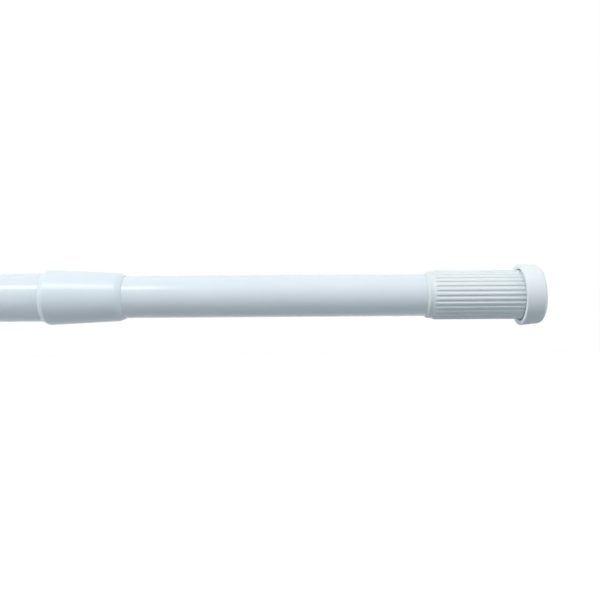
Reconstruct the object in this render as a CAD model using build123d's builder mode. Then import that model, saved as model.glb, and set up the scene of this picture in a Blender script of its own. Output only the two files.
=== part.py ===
from build123d import *
from math import pi, radians, tan
import os

os.makedirs("parts", exist_ok=True)

# Extendable curtain rod that clamps itself between two walls.
# The rod lies along X, and the origin is the centre of the left foot's wall face.
# All sizes are in millimetres, and angles in degrees.
# Depths on an end piece run from its wall face inwards.

# Tubes
outer_length = 592.0
inner_length = 600.0
outer_d = 25.0
inner_d = 22.0
tube_wall = 0.7

# Inner tube in view between the collar and the right grip
shown_inner = 156.0

# Clearances on the radius
press_fit = 0.05
slide_fit = 0.2
thread_fit = 0.2

# Collar on the mouth of the outer tube
collar_length = 41.8
collar_rear_wall = 1.8
collar_front_wall = 0.15
collar_chamfer = 2.6
collar_rear_edge = 0.3
collar_nose = 16.0
nose_round = 4.1
nose_edge = 0.2

# Grips, the ribbed sleeves at both ends
grip_shown = 49.4
grip_wall = 1.75
socket_depth = 30.0
grip_web = 3.0
lip_wall = 1.05
lip_length = 2.8
lip_bevel = 1.0
lip_edge = 0.2
ramp_length = 2.0
rib_pitch = 2.54
groove_width = 1.3
groove_depth = 0.55
groove_draft = 17.0
rib_phase = 2.6

# Feet, the soft cups that press on the walls
foot_length = 10.8
foot_floor = 5.0
foot_wall = 2.45
foot_gap = 0.75
foot_taper = 0.8
foot_round = 2.3
rim_chamfer = 0.4
peg_d = 16.0
peg_length = 12.0
pad_groove_d = 15.0
pad_groove_step = 6.0
pad_groove_count = 2
pad_groove_width = 1.2
pad_groove_depth = 0.8

# Bush that closes the inner end of the inner tube and guides it in the outer tube
bush_flange = 3.0
bush_spigot = 18.0
bush_gap = 0.2
bush_groove_width = 1.0
bush_groove_depth = 0.5

# Spindle, a hexagon bar with a threaded end and a round head
spindle_flats = 8.0
hex_fit = 0.15
thread_d = 7.6
head_thickness = 3.0
head_gap = 0.7
guide_pin_d = 11.0
guide_pin_length = 10.0

# Tension spring behind the spindle's head, and the plug that it pushes on
spring_length = 60.0
spring_mean_d = 15.6
spring_wire = 2.0
spring_turns = 6
wire_sides = 6
squeeze_travel = 20.0
stop_length = 12.0
stop_wall = 3.0

# Twist lock in the outer tube: a slotted collet spread by a cone nut
collet_length = 24.0
collet_gap = 0.3
collet_end_wall = 4.0
collet_mouth_wall = 2.2
collet_cone_drop = 3.1
collet_slot = 2.2
collet_slot_count = 4
collet_slot_end = 5.0
collet_groove_count = 3
collet_groove_width = 1.2
collet_groove_depth = 0.4
squeezed_gap = 1.0
washer_d = 18.0
washer_thickness = 1.0
nut_length = 12.0
nut_set_in = 1.0
nut_gap = 0.15
nut_key_gap = 0.2
nut_key_inset = 0.9
release_travel = 2.0
clip_gap = 0.3
clip_d = 13.0
clip_thickness = 1.0
spindle_tail = 1.0

# Radii that follow from these
outer_r = outer_d / 2
inner_r = inner_d / 2
outer_bore_r = outer_r - tube_wall
inner_bore_r = inner_r - tube_wall
peg_r = peg_d / 2
thread_r = thread_d / 2
plug_r = inner_bore_r - press_fit

# Depths in an end piece
lip_depth = foot_length + grip_shown
socket_end = lip_depth - socket_depth
ramp_foot = lip_depth - lip_length
ramp_top = ramp_foot - ramp_length

# Places along the rod
outer_start = socket_end
outer_mouth = outer_start + outer_length
collar_end = outer_mouth + collar_nose
collar_start = collar_end - collar_length
right_lip = collar_end + shown_inner
rod_length = right_lip + lip_depth
inner_end = rod_length - socket_end
inner_start = inner_end - inner_length
bush_start = inner_start - bush_flange
bush_end = inner_start + bush_spigot
washer_start = bush_start - squeeze_travel - squeezed_gap - washer_thickness
hex_start = washer_start + washer_thickness
collet_start = washer_start - collet_length
nut_start = collet_start + nut_set_in
clip_end = nut_start - release_travel - clip_gap
clip_start = clip_end - clip_thickness
spindle_start = clip_start - spindle_tail
head_end = bush_end + head_thickness
spring_end = head_end + spring_length

# Planes whose X runs from a wall face inwards, with the radius along Y
left_end = Plane.XY
right_end = Plane(origin=(rod_length, 0, 0), x_dir=(-1, 0, 0), z_dir=(0, 0, -1))


# Tube cut to length
def make_tube(start, length, outside_r):
    with BuildPart() as tube:
        with BuildSketch(Plane.YZ.offset(start)):
            Circle(outside_r)
            Circle(outside_r - tube_wall, mode=Mode.SUBTRACT)
        extrude(amount=length)
    return tube


# Sleeve with a plain lip, a ramp and ribs, a socket for the tube and a bore for the foot's peg
def make_grip(end, tube_r):
    body_r = tube_r + grip_wall
    lip_r = tube_r + lip_wall
    socket_r = tube_r + press_fit
    peg_bore_r = peg_r + press_fit
    peg_bore_end = socket_end - grip_web
    rib_count = round(2 * pi * body_r / rib_pitch)
    groove_floor = groove_width - 2 * groove_depth * tan(radians(groove_draft))
    groove_top = 2 * groove_width - groove_floor
    rib_start = end.origin.X + end.x_dir.X * foot_floor
    rib_length = (ramp_foot - foot_floor) * end.x_dir.X
    with BuildPart() as grip:
        with BuildSketch(end):
            with BuildLine():
                Polyline(
                    (foot_floor, peg_bore_r),
                    (foot_floor, body_r),
                    (ramp_top, body_r),
                    (ramp_foot, lip_r),
                    (lip_depth - lip_bevel, lip_r),
                    (lip_depth, socket_r + lip_edge),
                    (lip_depth, socket_r),
                    (socket_end, socket_r),
                    (socket_end, 0),
                    (peg_bore_end, 0),
                    (peg_bore_end, peg_bore_r),
                    close=True,
                )
            make_face()
        revolve(axis=Axis.X)
        with BuildSketch(Plane.YZ.offset(rib_start)):
            with PolarLocations(body_r, rib_count, start_angle=rib_phase):
                Polygon(
                    (-groove_depth, -groove_floor / 2),
                    (groove_depth, -groove_top / 2),
                    (groove_depth, groove_top / 2),
                    (-groove_depth, groove_floor / 2),
                    align=None,
                )
        extrude(amount=rib_length, mode=Mode.SUBTRACT)
    return grip


# Soft cup with a peg in its middle and ring grooves in its wall face
def make_foot(end, tube_r):
    cup_r = tube_r + grip_wall + foot_gap
    rim_r = cup_r + foot_wall
    front_r = rim_r - foot_taper
    peg_end = foot_floor + peg_length
    with BuildPart() as foot:
        with BuildSketch(end) as profile:
            with BuildLine():
                Polyline(
                    (0, 0),
                    (0, front_r),
                    (foot_length, rim_r),
                    (foot_length, cup_r),
                    (foot_floor, cup_r),
                    (foot_floor, peg_r),
                    (peg_end, peg_r),
                    (peg_end, 0),
                    close=True,
                )
            make_face()
            fillet(profile.vertices().sort_by_distance((0, front_r))[0], foot_round)
            for corner in ((foot_length, rim_r), (foot_length, cup_r)):
                chamfer(profile.vertices().sort_by_distance(corner)[0], rim_chamfer)
        revolve(axis=Axis.X)
        with BuildSketch(end):
            for ring in range(pad_groove_count):
                ring_r = (pad_groove_d + ring * pad_groove_step) / 2
                with Locations((pad_groove_depth / 2, ring_r)):
                    Rectangle(pad_groove_depth, pad_groove_width)
        revolve(axis=Axis.X, mode=Mode.SUBTRACT)
    return foot


# Tubes: the inner one slides in the outer one
outer_tube = make_tube(outer_start, outer_length, outer_r)
outer_tube.part.label = "outer_tube"
export_step(outer_tube.part, "parts/outer_tube.step")

inner_tube = make_tube(inner_start, inner_length, inner_r)
inner_tube.part.label = "inner_tube"
export_step(inner_tube.part, "parts/inner_tube.step")

# Collar: a tapering sleeve whose round nose guides the inner tube
collar_bore_r = outer_r + press_fit
nose_bore_r = inner_r + slide_fit
nose_edge_r = nose_bore_r + nose_edge
collar_rear_r = outer_r + collar_rear_wall
collar_front_r = outer_r + collar_front_wall
nose_start = collar_end - nose_round
taper_length = nose_start - collar_start - collar_chamfer
with BuildPart() as collar:
    with BuildSketch():
        with BuildLine():
            Polyline(
                (nose_start, collar_front_r),
                (collar_start + collar_chamfer, collar_rear_r),
                (collar_start, collar_bore_r + collar_rear_edge),
                (collar_start, collar_bore_r),
                (outer_mouth, collar_bore_r),
                (outer_mouth, nose_bore_r),
                (collar_end, nose_bore_r),
                (collar_end, nose_edge_r),
            )
            TangentArc(
                (nose_start, collar_front_r),
                (collar_end, nose_edge_r),
                tangent=(taper_length, collar_front_r - collar_rear_r),
            )
        make_face()
    revolve(axis=Axis.X)
collar.part.label = "collar"
export_step(collar.part, "parts/collar.step")

# Grips and feet: the same design on both tubes
left_grip = make_grip(left_end, outer_r)
left_grip.part.label = "left_grip"
export_step(left_grip.part, "parts/left_grip.step")

right_grip = make_grip(right_end, inner_r)
right_grip.part.label = "right_grip"
export_step(right_grip.part, "parts/right_grip.step")

left_foot = make_foot(left_end, outer_r)
left_foot.part.label = "left_foot"
export_step(left_foot.part, "parts/left_foot.step")

right_foot = make_foot(right_end, inner_r)
right_foot.part.label = "right_foot"
export_step(right_foot.part, "parts/right_foot.step")

# Guide bush: a flanged plug with a hexagon hole for the spindle
bush_flange_r = outer_bore_r - bush_gap
hex_hole_r = spindle_flats / 2 + hex_fit
bush_groove_middle = bush_start + bush_flange / 2
with BuildPart() as guide_bush:
    with BuildSketch(Plane.YZ.offset(bush_start)):
        Circle(bush_flange_r)
    extrude(amount=bush_flange)
    with BuildSketch(Plane.YZ.offset(inner_start)):
        Circle(plug_r)
    extrude(amount=bush_spigot)
    with BuildSketch():
        with Locations((bush_groove_middle, bush_flange_r)):
            Rectangle(bush_groove_width, 2 * bush_groove_depth)
    revolve(axis=Axis.X, mode=Mode.SUBTRACT)
    with BuildSketch(Plane.YZ.offset(bush_start)):
        RegularPolygon(hex_hole_r, 6, major_radius=False)
    extrude(amount=bush_flange + bush_spigot, mode=Mode.SUBTRACT)
guide_bush.part.label = "guide_bush"
export_step(guide_bush.part, "parts/guide_bush.step")

# Spindle: threaded end, hexagon bar, round head and the pin that centres the spring
head_r = inner_bore_r - head_gap
with BuildPart() as spindle:
    with BuildSketch(Plane.YZ.offset(spindle_start)):
        Circle(thread_r)
    extrude(amount=hex_start - spindle_start)
    with BuildSketch(Plane.YZ.offset(hex_start)):
        RegularPolygon(spindle_flats / 2, 6, major_radius=False)
    extrude(amount=bush_end - hex_start)
    with BuildSketch(Plane.YZ.offset(bush_end)):
        Circle(head_r)
    extrude(amount=head_thickness)
    with BuildSketch(Plane.YZ.offset(head_end)):
        Circle(guide_pin_d / 2)
    extrude(amount=guide_pin_length)
spindle.part.label = "spindle"
export_step(spindle.part, "parts/spindle.step")

# Tension spring: a wire coil with both ends ground flat
spring_r = spring_mean_d / 2
spring_hull_r = spring_r + spring_wire
with BuildPart() as tension_spring:
    with BuildLine():
        coil = Helix(
            pitch=spring_length / spring_turns,
            height=spring_length,
            radius=spring_r,
            center=(head_end, 0, 0),
            direction=(1, 0, 0),
        )
    with BuildSketch(Plane(origin=coil @ 0, z_dir=coil % 0)):
        RegularPolygon(spring_wire / 2, wire_sides)
    sweep(is_frenet=True)
    with BuildSketch(Plane.YZ.offset(head_end)):
        Circle(spring_hull_r)
    extrude(amount=spring_length, mode=Mode.INTERSECT)
tension_spring.part.label = "tension_spring"
export_step(tension_spring.part, "parts/tension_spring.step")

# Spring stop: a hollow plug fixed in the inner tube
with BuildPart() as spring_stop:
    with BuildSketch(Plane.YZ.offset(spring_end)):
        Circle(plug_r)
    extrude(amount=stop_length)
    with BuildSketch(Plane.YZ.offset(spring_end + stop_wall)):
        Circle(plug_r - stop_wall)
    extrude(amount=stop_length - stop_wall, mode=Mode.SUBTRACT)
spring_stop.part.label = "spring_stop"
export_step(spring_stop.part, "parts/spring_stop.step")

# Thrust washer between the collet and the shoulder of the hexagon bar
with BuildPart() as thrust_washer:
    with BuildSketch(Plane.YZ.offset(washer_start)):
        Circle(washer_d / 2)
        Circle(thread_r + press_fit, mode=Mode.SUBTRACT)
    extrude(amount=washer_thickness)
thrust_washer.part.label = "thrust_washer"
export_step(thrust_washer.part, "parts/thrust_washer.step")

# Collet: a sleeve with a tapering bore, slotted into fingers that spread in the outer tube
collet_r = outer_bore_r - collet_gap
mouth_r = collet_r - collet_mouth_wall
throat_r = mouth_r - collet_cone_drop
cone_end = washer_start - collet_end_wall
spindle_hole_r = thread_r + thread_fit
slot_end = washer_start - collet_slot_end
finger_length = slot_end - collet_start
with BuildPart() as lock_collet:
    with BuildSketch():
        with BuildLine():
            Polyline(
                (collet_start, mouth_r),
                (collet_start, collet_r),
                (washer_start, collet_r),
                (washer_start, spindle_hole_r),
                (cone_end, spindle_hole_r),
                (cone_end, throat_r),
                close=True,
            )
        make_face()
    revolve(axis=Axis.X)
    with BuildSketch():
        for ring in range(collet_groove_count):
            ring_x = collet_start + finger_length * (ring + 1) / (collet_groove_count + 1)
            with Locations((ring_x, collet_r)):
                Rectangle(collet_groove_width, 2 * collet_groove_depth)
    revolve(axis=Axis.X, mode=Mode.SUBTRACT)
    with BuildSketch(Plane.YZ.offset(collet_start)):
        with PolarLocations(collet_r, collet_slot_count):
            Rectangle(2 * (collet_r - throat_r), collet_slot)
    extrude(amount=finger_length, mode=Mode.SUBTRACT)
lock_collet.part.label = "lock_collet"
export_step(lock_collet.part, "parts/lock_collet.step")

# Cone nut: spreads the fingers, and its keys run in the collet's slots
cone_slope = collet_cone_drop / (cone_end - collet_start)
nut_big_r = mouth_r - cone_slope * nut_set_in - nut_gap
nut_small_r = nut_big_r - cone_slope * nut_length
nut_end = nut_start + nut_length
key_width = collet_slot - 2 * nut_key_gap
key_r = collet_r - nut_key_inset
with BuildPart() as cone_nut:
    with BuildSketch():
        with BuildLine():
            Polyline(
                (nut_start, 0),
                (nut_start, nut_big_r),
                (nut_end, nut_small_r),
                (nut_end, 0),
                close=True,
            )
        make_face()
    revolve(axis=Axis.X)
    with BuildSketch(Plane.YZ.offset(nut_start)):
        with PolarLocations(key_r / 2, collet_slot_count):
            Rectangle(key_r, key_width)
    extrude(amount=nut_length)
    with BuildSketch(Plane.YZ.offset(nut_start)):
        Circle(thread_r + thread_fit)
    extrude(amount=nut_length, mode=Mode.SUBTRACT)
cone_nut.part.label = "cone_nut"
export_step(cone_nut.part, "parts/cone_nut.step")

# Retaining clip pushed on the spindle's threaded end
with BuildPart() as retaining_clip:
    with BuildSketch(Plane.YZ.offset(clip_start)):
        Circle(clip_d / 2)
        Circle(thread_r + press_fit, mode=Mode.SUBTRACT)
    extrude(amount=clip_thickness)
retaining_clip.part.label = "retaining_clip"
export_step(retaining_clip.part, "parts/retaining_clip.step")
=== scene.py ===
import math

import bmesh
import bpy
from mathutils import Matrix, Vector


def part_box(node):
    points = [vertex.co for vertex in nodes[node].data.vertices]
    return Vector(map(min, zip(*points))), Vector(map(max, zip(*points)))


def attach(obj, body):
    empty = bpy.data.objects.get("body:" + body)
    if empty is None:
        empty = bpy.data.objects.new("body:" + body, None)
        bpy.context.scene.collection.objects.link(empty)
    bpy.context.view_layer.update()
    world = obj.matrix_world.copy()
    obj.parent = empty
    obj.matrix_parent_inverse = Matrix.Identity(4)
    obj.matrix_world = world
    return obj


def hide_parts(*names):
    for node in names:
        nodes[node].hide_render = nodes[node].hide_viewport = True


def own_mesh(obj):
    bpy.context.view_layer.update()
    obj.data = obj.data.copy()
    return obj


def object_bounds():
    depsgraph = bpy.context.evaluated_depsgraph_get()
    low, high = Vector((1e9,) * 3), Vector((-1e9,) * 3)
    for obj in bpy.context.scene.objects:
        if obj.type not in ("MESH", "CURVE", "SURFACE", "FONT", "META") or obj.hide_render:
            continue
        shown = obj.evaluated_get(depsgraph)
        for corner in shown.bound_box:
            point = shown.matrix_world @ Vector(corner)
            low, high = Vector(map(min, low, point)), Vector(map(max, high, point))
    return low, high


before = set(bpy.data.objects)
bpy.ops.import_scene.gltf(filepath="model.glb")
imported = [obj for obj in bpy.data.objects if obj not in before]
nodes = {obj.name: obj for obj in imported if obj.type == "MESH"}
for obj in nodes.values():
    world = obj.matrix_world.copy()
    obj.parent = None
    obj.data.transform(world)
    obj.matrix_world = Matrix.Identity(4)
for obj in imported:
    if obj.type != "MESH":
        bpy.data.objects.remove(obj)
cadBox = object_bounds()
mm = 0.001
print("frame loaded:", len(nodes), "nodes")


# helpers for turned shapes, the rod's axis is X

shaping = {
    "arcSteps": 6, "turnSteps": 144, "merge": 0.002 * mm, "sliver": 0.001 * mm, "sharpAngle": 32,
}


def addObject(name, data):
    obj = bpy.data.objects.new(name, data)
    bpy.context.scene.collection.objects.link(obj)
    return obj


def roundOff(corners, steps=shaping["arcSteps"]):
    # corners are (x, radius, rounding) round a closed section, a rounded corner becomes an arc
    outline = []
    for i, (x, r, rounding) in enumerate(corners):
        here = Vector((x, r))
        if rounding <= 0:
            outline.append(here)
            continue
        back = (Vector(corners[i - 1][:2]) - here).normalized()
        ahead = (Vector(corners[(i + 1) % len(corners)][:2]) - here).normalized()
        half = back.angle(ahead) / 2
        centre = here + (back + ahead).normalized() * rounding / math.sin(half)
        first = (here + back * rounding / math.tan(half) - centre) / rounding
        last = (here + ahead * rounding / math.tan(half) - centre) / rounding
        outline += [centre + rounding * first.slerp(last, k / steps) for k in range(steps + 1)]
    return outline


def skinRows(name, rows, angles, wrap):
    # one section per angle about X, from the top towards the front, joined by quads
    count = len(rows[0])
    verts = [(x, -r * math.sin(a), r * math.cos(a)) for row, a in zip(rows, angles) for x, r in row]
    faces = []
    for j in range(len(rows) if wrap else len(rows) - 1):
        here = j * count
        there = (j + 1) % len(rows) * count
        for i in range(count):
            k = (i + 1) % count
            faces.append((here + i, here + k, there + k, there + i))
    mesh = bpy.data.meshes.new(name)
    mesh.from_pydata(verts, [], faces)
    return mesh


def closeUp(mesh):
    # merges seams and poles, turns the faces outwards and keeps the crisp edges
    bm = bmesh.new()
    bm.from_mesh(mesh)
    bmesh.ops.remove_doubles(bm, verts=bm.verts, dist=shaping["merge"])
    bmesh.ops.dissolve_degenerate(bm, edges=bm.edges, dist=shaping["sliver"])
    bmesh.ops.recalc_face_normals(bm, faces=bm.faces)
    bm.to_mesh(mesh)
    bm.free()
    mesh.shade_smooth()
    mesh.set_sharp_from_angle(angle=math.radians(shaping["sharpAngle"]))
    return mesh


def fullTurn(steps):
    return [2 * math.pi * j / steps for j in range(steps)]


def turn(name, outline):
    angles = fullTurn(shaping["turnSteps"])
    mesh = skinRows(name, [outline] * len(angles), angles, wrap=True)
    return addObject(name, closeUp(mesh))


def settle(obj, node, body, finishName):
    # the piece stands for its CAD node and rides on the node's body
    obj.data.materials.clear()
    obj.data.materials.append(finish[finishName])
    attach(obj, body)
    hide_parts(node)


def runTree(obj, tree, values):
    # sets the inputs, keeps the evaluated result as the object's plain mesh and drops the modifier
    modifier = obj.modifiers.new(tree.name, "NODES")
    modifier.node_group = tree
    for item in tree.interface.items_tree:
        if item.in_out == "INPUT" and item.name in values:
            modifier[item.identifier] = values[item.name]
    bpy.context.view_layer.update()
    evaluated = obj.evaluated_get(bpy.context.evaluated_depsgraph_get())
    mesh = bpy.data.meshes.new_from_object(evaluated)
    obj.modifiers.remove(modifier)
    mesh.name = obj.name
    obj.data = mesh


def newTree(name, inputs):
    # an empty node tree with named inputs, and short ways to add and link its nodes
    tree = bpy.data.node_groups.new(name, "GeometryNodeTree")
    for label, kind in inputs.items():
        tree.interface.new_socket(label, in_out="INPUT", socket_type="NodeSocket" + kind)
    tree.interface.new_socket("Geometry", in_out="OUTPUT", socket_type="NodeSocketGeometry")
    return tree, tree.nodes.new, tree.links.new


# finishes, all on Object coordinates
# patch, streak and grain are noise scales per metre, depth is the height of the grain

texture = {
    "patchDetail": 2.0, "streakDetail": 4.0, "grainDetail": 3.0,
    "driftFrom": 0.3, "driftTo": 0.7, "bump": 0.35,
}
plainLook = {"specular": 0.5, "coat": 0.0, "coatMatt": 0.1, "metal": 0.0}  # where a finish names none
finishes = {
    "white_enamel": {
        "dark": (0.715, 0.80, 0.855), "light": (0.73, 0.815, 0.87), "patch": 35,
        "matt": (0.20, 0.28), "streak": 60, "stretch": (0.15, 1, 1), "grain": 900, "depth": 0.004 * mm,
        "coat": 0.5, "coatMatt": 0.09,
    },
    "collar_plastic": {
        "dark": (0.715, 0.80, 0.85), "light": (0.73, 0.815, 0.865), "patch": 60,
        "matt": (0.26, 0.33), "streak": 90, "stretch": (0.3, 1, 1), "grain": 1500, "depth": 0.005 * mm,
        "specular": 0.65,
    },
    "grip_plastic": {
        "dark": (0.705, 0.775, 0.785), "light": (0.72, 0.79, 0.80), "patch": 60,
        "matt": (0.36, 0.44), "streak": 120, "stretch": (0.2, 1, 1), "grain": 1800, "depth": 0.006 * mm,
        "specular": 0.7,
    },
    "foot_rubber": {
        "dark": (0.775, 0.85, 0.865), "light": (0.795, 0.87, 0.885), "patch": 80,
        "matt": (0.52, 0.62), "streak": 200, "stretch": (1, 1, 1), "grain": 2600, "depth": 0.012 * mm,
        "specular": 0.4,
    },
    "natural_nylon": {
        "dark": (0.70, 0.69, 0.63), "light": (0.74, 0.73, 0.68), "patch": 90,
        "matt": (0.42, 0.50), "streak": 150, "stretch": (1, 1, 1), "grain": 1600, "depth": 0.008 * mm,
    },
    "zinc_steel": {
        "dark": (0.58, 0.59, 0.60), "light": (0.66, 0.67, 0.67), "patch": 300,
        "matt": (0.28, 0.40), "streak": 400, "stretch": (0.1, 1, 1), "grain": 2000, "depth": 0.004 * mm,
        "metal": 1.0,
    },
    "spring_steel": {
        "dark": (0.42, 0.43, 0.44), "light": (0.52, 0.53, 0.54), "patch": 400,
        "matt": (0.24, 0.36), "streak": 500, "stretch": (1, 1, 1), "grain": 2400, "depth": 0.003 * mm,
        "metal": 1.0,
    },
}


def addNoise(tree, coords, scale, detail, stretch=(1, 1, 1)):
    mapping = tree.nodes.new("ShaderNodeMapping")
    mapping.inputs["Scale"].default_value = stretch
    noise = tree.nodes.new("ShaderNodeTexNoise")
    noise.inputs["Scale"].default_value = scale
    noise.inputs["Detail"].default_value = detail
    tree.links.new(coords.outputs["Object"], mapping.inputs["Vector"])
    tree.links.new(mapping.outputs["Vector"], noise.inputs["Vector"])
    return noise.outputs["Fac"]


def makeFinish(name):
    look = {**plainLook, **finishes[name]}
    material = bpy.data.materials.new(name)
    material.use_nodes = True
    tree = material.node_tree
    link = tree.links.new
    shader = tree.nodes["Principled BSDF"]
    coords = tree.nodes.new("ShaderNodeTexCoord")
    ramp = tree.nodes.new("ShaderNodeValToRGB")  # slow drift of the colour
    ramp.color_ramp.elements[0].position = texture["driftFrom"]
    ramp.color_ramp.elements[1].position = texture["driftTo"]
    ramp.color_ramp.elements[0].color = (*look["dark"], 1)
    ramp.color_ramp.elements[1].color = (*look["light"], 1)
    link(addNoise(tree, coords, look["patch"], texture["patchDetail"]), ramp.inputs["Fac"])
    link(ramp.outputs["Color"], shader.inputs["Base Color"])
    span = tree.nodes.new("ShaderNodeMapRange")  # streaks of more and less gloss
    span.inputs["To Min"].default_value = look["matt"][0]
    span.inputs["To Max"].default_value = look["matt"][1]
    streaks = addNoise(tree, coords, look["streak"], texture["streakDetail"], look["stretch"])
    link(streaks, span.inputs["Value"])
    link(span.outputs["Result"], shader.inputs["Roughness"])
    bump = tree.nodes.new("ShaderNodeBump")  # fine skin of the paint or the mould
    bump.inputs["Strength"].default_value = texture["bump"]
    bump.inputs["Distance"].default_value = look["depth"]
    link(addNoise(tree, coords, look["grain"], texture["grainDetail"]), bump.inputs["Height"])
    link(bump.outputs["Normal"], shader.inputs["Normal"])
    shader.inputs["Specular IOR Level"].default_value = look["specular"]
    shader.inputs["Coat Weight"].default_value = look["coat"]
    shader.inputs["Coat Roughness"].default_value = look["coatMatt"]
    shader.inputs["Metallic"].default_value = look["metal"]
    return material


finish = {name: makeFinish(name) for name in finishes}
print("finishes ready:", len(finish))


# tubes, thin steel with the cut edges just broken

tube = {
    "outerRadius": 12.5 * mm, "innerRadius": 11.0 * mm, "wall": 0.7 * mm, "edge": 0.15 * mm,
    "edgeSteps": 3,
}


def makeTube(node, body, radius):
    low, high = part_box(node)
    bore = radius - tube["wall"]
    section = [
        (low.x, radius, tube["edge"]),
        (high.x, radius, tube["edge"]),
        (high.x, bore, tube["edge"]),
        (low.x, bore, tube["edge"]),
    ]
    obj = turn(node + "_skin", roundOff(section, tube["edgeSteps"]))
    settle(obj, node, body, "white_enamel")


makeTube("outer_tube", "outer_section", tube["outerRadius"])
makeTube("inner_tube", "inner_section", tube["innerRadius"])
print("tubes done")


# collar, a tapering sleeve with a long chamfer behind and a round nose

collar = {
    "rearWall": 1.8 * mm, "frontWall": 0.15 * mm, "chamfer": 2.6 * mm, "rearEdge": 0.3 * mm,
    "fit": 0.05 * mm, "slide": 0.08 * mm, "nose": 16.0 * mm, "noseRound": 4.1 * mm, "noseEdge": 0.2 * mm,
    "shoulderRound": 2.5 * mm, "edgeRound": 0.1 * mm, "noseSteps": 16,
}


def makeCollar():
    low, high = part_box("collar")
    bore = tube["outerRadius"] + collar["fit"]
    rear = tube["outerRadius"] + collar["rearWall"]
    front = tube["outerRadius"] + collar["frontWall"]
    noseBore = tube["innerRadius"] + collar["slide"]
    noseStart = Vector((high.x - collar["noseRound"], front))
    noseEnd = Vector((high.x, noseBore + collar["noseEdge"]))
    shoulder = Vector((low.x + collar["chamfer"], rear))
    along = (noseStart - shoulder).normalized()
    inwards = Vector((along.y, -along.x))  # square to the taper, towards the axis
    chord = noseEnd - noseStart
    radius = chord.length_squared / (2 * chord.dot(inwards))  # the arc leaves along the taper
    sweep = 2 * math.asin(chord.length / (2 * radius))
    nose = []
    for k in range(collar["noseSteps"] + 1):
        a = sweep * k / collar["noseSteps"]
        nose.append(noseStart + along * radius * math.sin(a) + inwards * radius * (1 - math.cos(a)))
    section = roundOff([
        (*noseStart, 0),
        (*noseEnd, 0),
        (high.x, noseBore, 0),
        (high.x - collar["nose"], noseBore, 0),
        (high.x - collar["nose"], bore, 0),
        (low.x, bore, 0),
        (low.x, bore + collar["rearEdge"], collar["edgeRound"]),
        (*shoulder, collar["shoulderRound"]),
    ])
    obj = turn("collar_skin", nose + section[2:])  # the arc takes the place of its two end points
    settle(obj, "collar", "outer_section", "collar_plastic")


makeCollar()
print("collar done")


# ends of the rod: a ribbed grip and a soft foot, the same design on both tubes
# depths run from the wall face towards the middle of the rod, leans and ribPhase are in degrees

end = {
    "footLength": 10.8 * mm, "footFloor": 5.0 * mm, "footWall": 2.45 * mm, "footGap": 0.75 * mm,
    "footTaper": 0.8 * mm, "footRound": 2.3 * mm, "rimRound": 0.4 * mm, "leanSlack": 0.01 * mm,
    "pegRadius": 8.0 * mm, "pegLength": 12.0 * mm, "pegRound": 0.6 * mm,
    "padGrooves": (7.5 * mm, 10.5 * mm), "padGrooveWidth": 1.2 * mm, "padGrooveDepth": 0.8 * mm,
    "padGrooveRound": 0.2 * mm,
    "gripShown": 49.4 * mm, "gripWall": 1.75 * mm, "socket": 30.0 * mm, "web": 3.0 * mm, "fit": 0.05 * mm,
    "lipWall": 1.05 * mm, "lipLength": 2.8 * mm, "lipBevel": 1.0 * mm, "lipEdge": 0.2 * mm,
    "lipRound": 0.2 * mm, "rampLength": 2.0 * mm, "rampSteps": 8,
    "ribPitch": 2.54 * mm, "ribDepth": 0.44 * mm, "ribPhase": 4.2, "ribFlatness": 0.42, "ribSteps": 20,
}
lipDepth = end["footLength"] + end["gripShown"]
sides = {
    "left": {
        "wall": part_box("left_foot")[0].x, "inwards": 1, "body": "outer_section",
        "tube": tube["outerRadius"], "rimLean": 0, "faceLean": 0,
    },
    "right": {
        "wall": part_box("right_foot")[1].x, "inwards": -1, "body": "inner_section",
        "tube": tube["innerRadius"], "rimLean": 1.6, "faceLean": 2.3,  # this foot sits a little askew
    },
}


def placeOutline(side, outline):
    return [Vector((side["wall"] + side["inwards"] * d, r)) for d, r in outline]


def buildRibTree():
    # repeats one rib sector round the rod's axis
    tree, add, link = newTree("ribs_round_the_grip", {
        "Geometry": "Geometry", "Rib Count": "Int", "Finish": "Material",
    })
    given = add("NodeGroupInput")
    points = add("GeometryNodePoints")
    index = add("GeometryNodeInputIndex")
    share = add("ShaderNodeMath")
    share.operation = "DIVIDE"
    angle = add("ShaderNodeMath")
    angle.operation = "MULTIPLY"
    angle.inputs[1].default_value = 2 * math.pi
    rotation = add("ShaderNodeCombineXYZ")
    instances = add("GeometryNodeInstanceOnPoints")
    realize = add("GeometryNodeRealizeInstances")
    paint = add("GeometryNodeSetMaterial")
    result = add("NodeGroupOutput")
    link(given.outputs["Rib Count"], points.inputs["Count"])
    link(index.outputs["Index"], share.inputs[0])
    link(given.outputs["Rib Count"], share.inputs[1])
    link(share.outputs["Value"], angle.inputs[0])
    link(angle.outputs["Value"], rotation.inputs["X"])
    link(points.outputs["Points"], instances.inputs["Points"])
    link(given.outputs["Geometry"], instances.inputs["Instance"])
    link(rotation.outputs["Vector"], instances.inputs["Rotation"])
    link(instances.outputs["Instances"], realize.inputs["Geometry"])
    link(realize.outputs["Geometry"], paint.inputs["Geometry"])
    link(given.outputs["Finish"], paint.inputs["Material"])
    link(paint.outputs["Geometry"], result.inputs["Geometry"])
    return tree


ribTree = buildRibTree()


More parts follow.
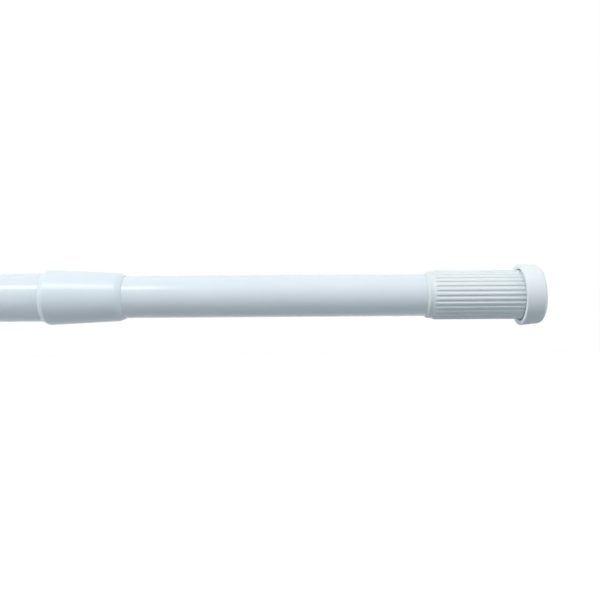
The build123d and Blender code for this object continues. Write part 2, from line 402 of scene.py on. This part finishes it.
def makeGrip(name):
    side = sides[name]
    body = side["tube"] + end["gripWall"]
    lip = side["tube"] + end["lipWall"]
    socket = side["tube"] + end["fit"]
    peg = end["pegRadius"] + end["fit"]
    socketEnd = lipDepth - end["socket"]
    rampFoot = lipDepth - end["lipLength"]
    rampTop = rampFoot - end["rampLength"]
    floor = end["footFloor"]
    section = [(floor, peg, 0), (floor, body, 0)]
    for k in range(end["rampSteps"] + 1):
        t = k / end["rampSteps"]
        section.append((rampTop + t * (rampFoot - rampTop), body + t * (lip - body), 0))
    section += [
        (lipDepth - end["lipBevel"], lip, end["lipRound"]),
        (lipDepth, socket + end["lipEdge"], 0),
        (lipDepth, socket, 0),
        (socketEnd, socket, 0),
        (socketEnd, 0, 0),
        (socketEnd - end["web"], 0, 0),
        (socketEnd - end["web"], peg, 0),
    ]
    outline = placeOutline(side, roundOff(section))
    ribCount = round(2 * math.pi * body / end["ribPitch"])
    ribAngle = 2 * math.pi / ribCount
    firstGroove = math.radians(end["ribPhase"] - 90)
    rows = []
    angles = []
    for k in range(end["ribSteps"] + 1):
        wave = math.cos(2 * math.pi * k / end["ribSteps"])
        dip = 0.5 - 0.5 * math.copysign(abs(wave) ** end["ribFlatness"], wave)  # 1 in the groove
        limit = body - end["ribDepth"] * dip
        rows.append([(x, min(r, limit)) for x, r in outline])
        angles.append(firstGroove + ribAngle * (k / end["ribSteps"] - 0.5))
    obj = addObject(name + "_grip_skin", skinRows(name + "_grip_sector", rows, angles, wrap=False))
    runTree(obj, ribTree, {"Rib Count": ribCount, "Finish": finish["grip_plastic"]})
    closeUp(obj.data)
    settle(obj, name + "_grip", side["body"], "grip_plastic")


def leanFoot(mesh, side, cup):
    # tips the soft cup about its middle, less at the rim than at the wall face, the peg stays straight
    middle = side["wall"] + side["inwards"] * end["footLength"] / 2
    setBack = math.sin(math.radians(side["faceLean"])) * cup
    floor = end["footFloor"]
    for v in mesh.vertices:
        depth = (v.co.x - side["wall"]) * side["inwards"]
        radius = math.hypot(v.co.y, v.co.z)
        if radius < cup + end["leanSlack"] and depth > floor - end["leanSlack"]:  # inside the cup
            reach = max(0, min(1, (depth - floor) / (end["footLength"] - floor)))
            onPeg = radius < end["pegRadius"] + end["leanSlack"]
            lean = 0 if onPeg else side["rimLean"] * reach
        else:
            reach = max(0, min(1, depth / end["footLength"]))
            lean = side["faceLean"] + reach * (side["rimLean"] - side["faceLean"])
        a = math.radians(lean)
        x = v.co.x - middle
        z = v.co.z
        v.co.x = middle + x * math.cos(a) - z * math.sin(a) + (side["inwards"] * setBack if lean else 0)
        v.co.z = z * math.cos(a) + x * math.sin(a)


def makeFoot(name):
    side = sides[name]
    cup = side["tube"] + end["gripWall"] + end["footGap"]
    rim = cup + end["footWall"]
    front = rim - end["footTaper"]
    pegEnd = end["footFloor"] + end["pegLength"]
    section = [(0, 0, 0)]
    for middle in end["padGrooves"]:
        inner = middle - end["padGrooveWidth"] / 2
        outer = middle + end["padGrooveWidth"] / 2
        deep = end["padGrooveDepth"]
        groove = [(0, inner), (deep, inner), (deep, outer), (0, outer)]
        section += [(d, r, end["padGrooveRound"]) for d, r in groove]
    section += [
        (0, front, end["footRound"]),
        (end["footLength"], rim, end["rimRound"]),
        (end["footLength"], cup, end["rimRound"]),
        (end["footFloor"], cup, end["rimRound"]),
        (end["footFloor"], end["pegRadius"], 0),
        (pegEnd, end["pegRadius"], end["pegRound"]),
        (pegEnd, 0, 0),
    ]
    obj = turn(name + "_foot_skin", placeOutline(side, roundOff(section)))
    if side["rimLean"]:
        leanFoot(obj.data, side, cup)
    settle(obj, name + "_foot", side["body"], "foot_rubber")


for name in sides:
    makeGrip(name)
    makeFoot(name)
print("grips and feet done")


# spindle, a threaded end, a hexagon bar, a round head and the pin that centres the spring

spindle = {
    "threadRadius": 3.8 * mm, "threadDepth": 0.5 * mm, "pitch": 2.0 * mm, "runOut": 2.0 * mm,
    "flats": 4.0 * mm, "headRadius": 9.6 * mm, "pinRadius": 5.5 * mm,
    "headRound": 0.4 * mm, "pinRound": 1.0 * mm, "tip": 0.5 * mm, "threadSteps": 112, "steps": 72,
}


def makeSpindle():
    low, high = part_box("spindle")
    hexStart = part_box("thrust_washer")[1].x
    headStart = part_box("guide_bush")[1].x
    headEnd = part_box("tension_spring")[0].x
    head = roundOff([
        (high.x, 0, 0),
        (headStart, 0, 0),
        (headStart, spindle["headRadius"], spindle["headRound"]),
        (headEnd, spindle["headRadius"], spindle["headRound"]),
        (headEnd, spindle["pinRadius"], 0),
        (high.x, spindle["pinRadius"], spindle["pinRound"]),
    ])
    angles = fullTurn(spindle["steps"])
    rows = []
    for a in angles:
        row = [(low.x, 0.0), (low.x, spindle["threadRadius"] - spindle["tip"])]
        for k in range(spindle["threadSteps"] + 1):
            x = low.x + spindle["tip"] + (hexStart - low.x - spindle["tip"]) * k / spindle["threadSteps"]
            fade = max(0, min(1, (hexStart - x) / spindle["runOut"] - 1))
            wave = 0.5 - 0.5 * math.cos(2 * math.pi * x / spindle["pitch"] - a)
            row.append((x, spindle["threadRadius"] - fade * wave * spindle["threadDepth"]))
        toFlat = (a + math.pi / 6) % (math.pi / 3) - math.pi / 6  # from the middle of the nearest flat
        flat = spindle["flats"] / math.cos(toFlat)
        row += [(hexStart, flat), (headStart, flat)]
        row += [tuple(p) for p in head[2:]]  # without its two points on the axis
        rows.append(row + [(high.x, 0.0)])
    mesh = closeUp(skinRows("spindle_skin", rows, angles, wrap=True))
    settle(addObject("spindle_skin", mesh), "spindle", "spindle_section", "zinc_steel")


makeSpindle()
print("spindle done")


# tension spring, round wire with both ends ground flat

spring = {
    "coilRadius": 7.8 * mm, "wireRadius": 1.0 * mm, "turns": 6.0, "travel": 20.0 * mm,
    "pointsPerTurn": 48, "wireSteps": 14,
}


def buildCoilTree():
    # winds a wire along X and grinds both ends flat
    tree, add, link = newTree("wound_wire", {
        "Geometry": "Geometry", "Start": "Float", "Length": "Float", "Turns": "Float",
        "Coil Radius": "Float", "Wire Radius": "Float", "Points Per Turn": "Int", "Wire Steps": "Int",
        "Finish": "Material",
    })
    given = add("NodeGroupInput")
    coil = add("GeometryNodeCurveSpiral")
    circle = add("GeometryNodeCurvePrimitiveCircle")
    wire = add("GeometryNodeCurveToMesh")
    wire.inputs["Fill Caps"].default_value = True
    lay = add("GeometryNodeTransform")
    lay.inputs["Rotation"].default_value = (0, math.pi / 2, 0)
    offset = add("ShaderNodeCombineXYZ")
    stop = add("ShaderNodeMath")
    place = add("GeometryNodeInputPosition")
    split = add("ShaderNodeSeparateXYZ")
    grind = add("ShaderNodeClamp")
    join = add("ShaderNodeCombineXYZ")
    ground = add("GeometryNodeSetPosition")
    realize = add("GeometryNodeRealizeInstances")
    paint = add("GeometryNodeSetMaterial")
    result = add("NodeGroupOutput")
    link(given.outputs["Points Per Turn"], coil.inputs["Resolution"])
    link(given.outputs["Turns"], coil.inputs["Rotations"])
    link(given.outputs["Coil Radius"], coil.inputs["Start Radius"])
    link(given.outputs["Coil Radius"], coil.inputs["End Radius"])
    link(given.outputs["Length"], coil.inputs["Height"])
    link(given.outputs["Wire Steps"], circle.inputs["Resolution"])
    link(given.outputs["Wire Radius"], circle.inputs["Radius"])
    link(coil.outputs["Curve"], wire.inputs["Curve"])
    link(circle.outputs["Curve"], wire.inputs["Profile Curve"])
    link(wire.outputs["Mesh"], lay.inputs["Geometry"])
    link(given.outputs["Start"], offset.inputs["X"])
    link(offset.outputs["Vector"], lay.inputs["Translation"])
    link(given.outputs["Start"], stop.inputs[0])
    link(given.outputs["Length"], stop.inputs[1])
    link(place.outputs["Position"], split.inputs["Vector"])
    link(split.outputs["X"], grind.inputs["Value"])
    link(given.outputs["Start"], grind.inputs["Min"])
    link(stop.outputs["Value"], grind.inputs["Max"])
    link(grind.outputs["Result"], join.inputs["X"])
    link(split.outputs["Y"], join.inputs["Y"])
    link(split.outputs["Z"], join.inputs["Z"])
    link(lay.outputs["Geometry"], ground.inputs["Geometry"])
    link(join.outputs["Vector"], ground.inputs["Position"])
    link(ground.outputs["Geometry"], realize.inputs["Geometry"])
    link(realize.outputs["Geometry"], paint.inputs["Geometry"])
    link(given.outputs["Finish"], paint.inputs["Material"])
    link(paint.outputs["Geometry"], result.inputs["Geometry"])
    return tree


def makeSpring():
    low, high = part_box("tension_spring")
    length = high.x - low.x
    obj = addObject("tension_spring_skin", bpy.data.meshes.new("tension_spring_seed"))
    runTree(obj, buildCoilTree(), {
        "Start": low.x, "Length": length, "Turns": spring["turns"], "Coil Radius": spring["coilRadius"],
        "Wire Radius": spring["wireRadius"], "Points Per Turn": spring["pointsPerTurn"],
        "Wire Steps": spring["wireSteps"], "Finish": finish["spring_steel"],
    })
    closeUp(obj.data)
    settle(obj, "tension_spring", "spindle_section", "spring_steel")
    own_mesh(obj)


makeSpring()
print("spring done")


# the other inside pieces keep their CAD shape and get their finish

inside = {
    "guide_bush": "natural_nylon", "lock_collet": "natural_nylon", "cone_nut": "natural_nylon",
    "spring_stop": "natural_nylon", "thrust_washer": "zinc_steel", "retaining_clip": "zinc_steel",
}
for node, name in inside.items():
    nodes[node].data.materials.clear()
    nodes[node].data.materials.append(finish[name])
print("inside pieces finished:", len(inside))


# studio: white floor well below the rod, white surroundings, an even fill,
# a long soft light above the front, which runs along the rod and is stronger at its ends,
# most of all on the left, and a weaker one low behind

studio = {
    "floorDrop": 0.35, "floorSize": 8.0, "floorSeen": (0.97, 0.97, 0.97), "floorGlow": 0.12,
    "floorBounce": (0.295, 0.325, 0.357),
    "fill": (0.17, 0.185, 0.187), "keyColor": (1.0, 0.99, 1.0), "keyStrength": 2.08, "keyFocus": 20.0,
    "keyElevation": 55.5, "keyEnds": 2.4, "keyLeft": 0.5,
    "backElevation": 3.0, "backFocus": 9.0, "backStrength": 1.5,
}
lamps = {
    # shows only as the bright line on the gloss of the tubes and the collar
    "strip_light": {
        "x": 0.18, "length": 0.76, "width": 0.26, "distance": 1.0, "elevation": 49.5, "power": 3.2,
        "shades": False, "shines": True,
    },
    # soft light near the rod's middle, so the right end is a little darker
    "front_light": {
        "x": 0.40, "length": 0.30, "width": 0.15, "distance": 0.40, "elevation": -8.0, "power": 0.155,
        "shades": True, "shines": False,
    },
}


def addStep(tree, operation, *values):
    # one step of arithmetic, on numbers or on other nodes' results
    step = tree.nodes.new("ShaderNodeMath")
    step.operation = operation
    for value, socket in zip(values, step.inputs):
        if isinstance(value, float):
            socket.default_value = value
        else:
            tree.links.new(value, socket)
    return step.outputs["Value"]


def seenMask(tree):
    # 1 for camera, glossy and transmission rays, 0 for the light that reaches the object
    path = tree.nodes.new("ShaderNodeLightPath").outputs
    seen = addStep(tree, "MAXIMUM", path["Is Camera Ray"], path["Is Glossy Ray"])
    return addStep(tree, "MAXIMUM", seen, path["Is Transmission Ray"])


def makeFloor():
    half = studio["floorSize"] / 2
    middle = (cadBox[0].x + cadBox[1].x) / 2
    corners = [(-1, -1), (1, -1), (1, 1), (-1, 1)]
    mesh = bpy.data.meshes.new("floor")
    verts = [(middle + x * half, y * half, -studio["floorDrop"]) for x, y in corners]
    mesh.from_pydata(verts, [], [(0, 1, 2, 3)])
    material = bpy.data.materials.new("white_floor")
    material.use_nodes = True
    tree = material.node_tree
    tree.nodes.clear()
    add = tree.nodes.new
    link = tree.links.new
    seen = add("ShaderNodeBsdfDiffuse")
    seen.inputs["Color"].default_value = (*studio["floorSeen"], 1)
    glow = add("ShaderNodeEmission")
    glow.inputs["Strength"].default_value = studio["floorGlow"]
    both = add("ShaderNodeAddShader")
    bounce = add("ShaderNodeBsdfDiffuse")
    bounce.inputs["Color"].default_value = (*studio["floorBounce"], 1)
    mix = add("ShaderNodeMixShader")
    out = add("ShaderNodeOutputMaterial")
    link(seen.outputs["BSDF"], both.inputs[0])
    link(glow.outputs["Emission"], both.inputs[1])
    link(seenMask(tree), mix.inputs["Fac"])
    link(bounce.outputs["BSDF"], mix.inputs[1])
    link(both.outputs["Shader"], mix.inputs[2])
    link(mix.outputs["Shader"], out.inputs["Surface"])
    mesh.materials.append(material)
    addObject("floor", mesh)


def addGlow(tree, sky, elevation, toBack, focus):
    # a long band of light along X, in front of the rod or behind it
    rise = math.radians(elevation)
    facing = tree.nodes.new("ShaderNodeVectorMath")
    facing.operation = "DOT_PRODUCT"
    facing.inputs[1].default_value = (0, toBack * math.cos(rise), math.sin(rise))
    tree.links.new(sky, facing.inputs[0])
    return addStep(tree, "POWER", addStep(tree, "MAXIMUM", facing.outputs["Value"], 0.0), focus)


def makeWorld():
    world = bpy.data.worlds.new("studio")
    bpy.context.scene.world = world
    world.use_nodes = True
    tree = world.node_tree
    tree.nodes.clear()
    add = tree.nodes.new
    link = tree.links.new
    split = add("ShaderNodeSeparateXYZ")
    across = add("ShaderNodeCombineXYZ")
    sky = add("ShaderNodeVectorMath")
    sky.operation = "NORMALIZE"
    link(add("ShaderNodeTexCoord").outputs["Generated"], split.inputs["Vector"])
    link(split.outputs["Y"], across.inputs["Y"])
    link(split.outputs["Z"], across.inputs["Z"])
    link(across.outputs["Vector"], sky.inputs[0])
    x = split.outputs["X"]
    key = addGlow(tree, sky.outputs["Vector"], studio["keyElevation"], -1, studio["keyFocus"])
    lean = addStep(tree, "MULTIPLY_ADD", x, studio["keyEnds"], -studio["keyLeft"])
    key = addStep(tree, "MULTIPLY", key, addStep(tree, "MULTIPLY_ADD", x, lean, 1.0))
    back = addGlow(tree, sky.outputs["Vector"], studio["backElevation"], 1, studio["backFocus"])
    back = addStep(tree, "MULTIPLY", back, studio["backStrength"])
    bands = add("ShaderNodeBackground")
    bands.inputs["Color"].default_value = (*studio["keyColor"], 1)
    link(addStep(tree, "MULTIPLY_ADD", key, studio["keyStrength"], back), bands.inputs["Strength"])
    fill = add("ShaderNodeBackground")
    fill.inputs["Color"].default_value = (*studio["fill"], 1)
    light = add("ShaderNodeAddShader")
    white = add("ShaderNodeBackground")
    white.inputs["Color"].default_value = (1, 1, 1, 1)
    mix = add("ShaderNodeMixShader")
    link(bands.outputs["Background"], light.inputs[0])
    link(fill.outputs["Background"], light.inputs[1])
    link(seenMask(tree), mix.inputs["Fac"])
    link(light.outputs["Shader"], mix.inputs[1])
    link(white.outputs["Background"], mix.inputs[2])
    link(mix.outputs["Shader"], add("ShaderNodeOutputWorld").inputs["Surface"])


def makeLamp(name):
    lamp = lamps[name]
    data = bpy.data.lights.new(name, "AREA")
    data.shape = "RECTANGLE"
    data.size = lamp["length"]
    data.size_y = lamp["width"]
    data.energy = lamp["power"]
    obj = addObject(name, data)
    rise = math.radians(lamp["elevation"])
    obj.location = (lamp["x"], -lamp["distance"] * math.cos(rise), lamp["distance"] * math.sin(rise))
    obj.rotation_euler = (math.pi / 2 - rise, 0, 0)
    obj.visible_diffuse = lamp["shades"]
    obj.visible_glossy = lamp["shines"]
    obj.visible_camera = False


makeFloor()
makeWorld()
for name in lamps:
    makeLamp(name)
print("studio done")


# camera: square to the rod and almost level with it
# focal and picture are in pixels, axisY and lipX are where the picture shows the axis and the right lip

camera = {
    "focal": 696.0, "picture": 600, "scale": 0.522 * mm, "axisY": 295.9, "lipX": 424.6, "roll": 0.40,
    "sensor": 36.0, "near": 0.01,
}


def makeCamera():
    data = bpy.data.cameras.new("camera")
    data.sensor_width = camera["sensor"]
    data.lens = camera["focal"] / camera["picture"] * camera["sensor"]
    data.clip_start = camera["near"]
    obj = addObject("camera", data)
    middle = camera["picture"] / 2
    rightLip = sides["right"]["wall"] - lipDepth
    obj.location = (
        rightLip - (camera["lipX"] - middle) * camera["scale"],
        -camera["focal"] * camera["scale"],
        (camera["axisY"] - middle) * camera["scale"],
    )
    obj.rotation_euler = (math.pi / 2, math.radians(camera["roll"]), 0)
    bpy.context.scene.camera = obj


makeCamera()
bpy.context.scene.view_settings.view_transform = "Standard"
print("camera set")
